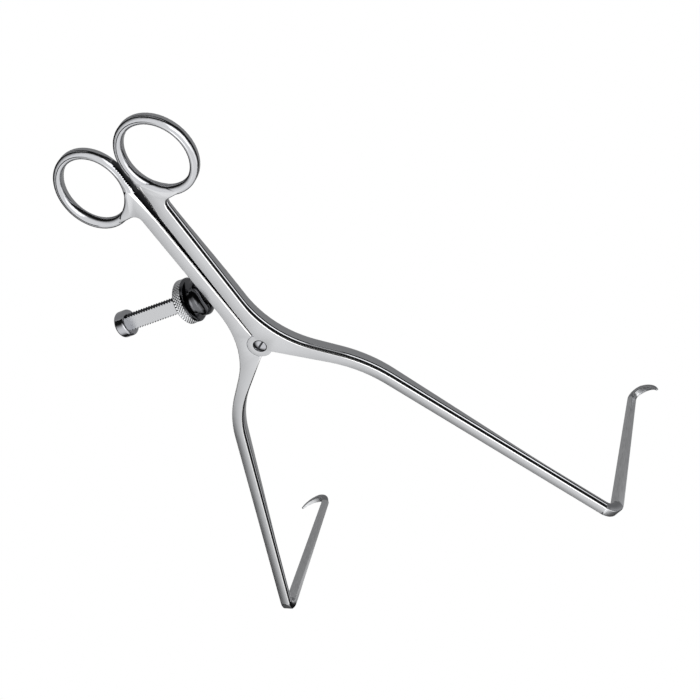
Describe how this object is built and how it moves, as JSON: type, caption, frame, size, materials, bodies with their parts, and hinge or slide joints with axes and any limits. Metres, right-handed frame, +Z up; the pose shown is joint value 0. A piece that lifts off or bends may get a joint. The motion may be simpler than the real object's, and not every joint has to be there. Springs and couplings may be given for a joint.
{
  "type": "self retaining retractor",
  "caption": "Self retaining surgical retractor: ring-handled levers on a screw joint, with hooked prongs held apart by a knurled nut on a threaded bar.",
  "frame": {"origin": "on the floor under the middle of the instrument, which stands on its two rings and two hooks", "axes": "+Z up, +Y from the finger rings towards the prongs, +X towards the lever that carries the nut. The levers' plane rises towards the prongs, by the angle at which it stands."},
  "size_m": [0.1984, 0.2562, 0.0776],
  "materials": {
    "satin_steel": "fine satin on the flat tops, mirror polish on the sides and rings",
    "satin_bar_steel": "milled flats with a fine grain, cut thread on the edges",
    "polished_steel": "mirror polished",
    "knurled_steel": "diamond knurled rim, mirror polished waist"
  },
  "bodies": {
    "left_side": {"left_lever": "satin_steel", "bar_pin": "polished_steel"},
    "right_side": {"right_lever": "satin_steel", "pivot_screw": "polished_steel"},
    "bar": {"threaded_bar": "satin_bar_steel", "end_stop": "polished_steel"},
    "collar": {"thrust_collar": "polished_steel"},
    "nut": {"knurled_nut": "knurled_steel"}
  },
  "joints": [
    {"name": "lever_hinge", "type": "hinge", "parent": "left_side", "child": "right_side", "pos_m": [0, -0.033, 0.03615], "axis": [0, -0.3156, 0.9489], "range_deg": [0, 50]},
    {"name": "bar_swing", "type": "hinge", "parent": "left_side", "child": "bar", "pos_m": [-0.0029, -0.05723, 0.0244], "axis": [0, -0.3156, 0.9489], "range_deg": [0, 30.5]},
    {"name": "collar_slide", "type": "slide", "parent": "bar", "child": "collar", "axis": [0.9968, -0.0761, -0.0253], "range_m": [0, 0.02538]},
    {"name": "nut_turn", "type": "hinge", "parent": "collar", "child": "nut", "pos_m": [0.01464, -0.05857, 0.02395], "axis": [0.9968, -0.0761, -0.0253], "range_deg": [0, 7256]}
  ],
  "couplings": [
    {"joint": "bar_swing", "follows": "lever_hinge", "ratio": 0.6},
    {"joint": "collar_slide", "follows": "lever_hinge", "m_per_rad": 0.02885},
    {"joint": "nut_turn", "follows": "lever_hinge", "ratio": 145.02}
  ]
}
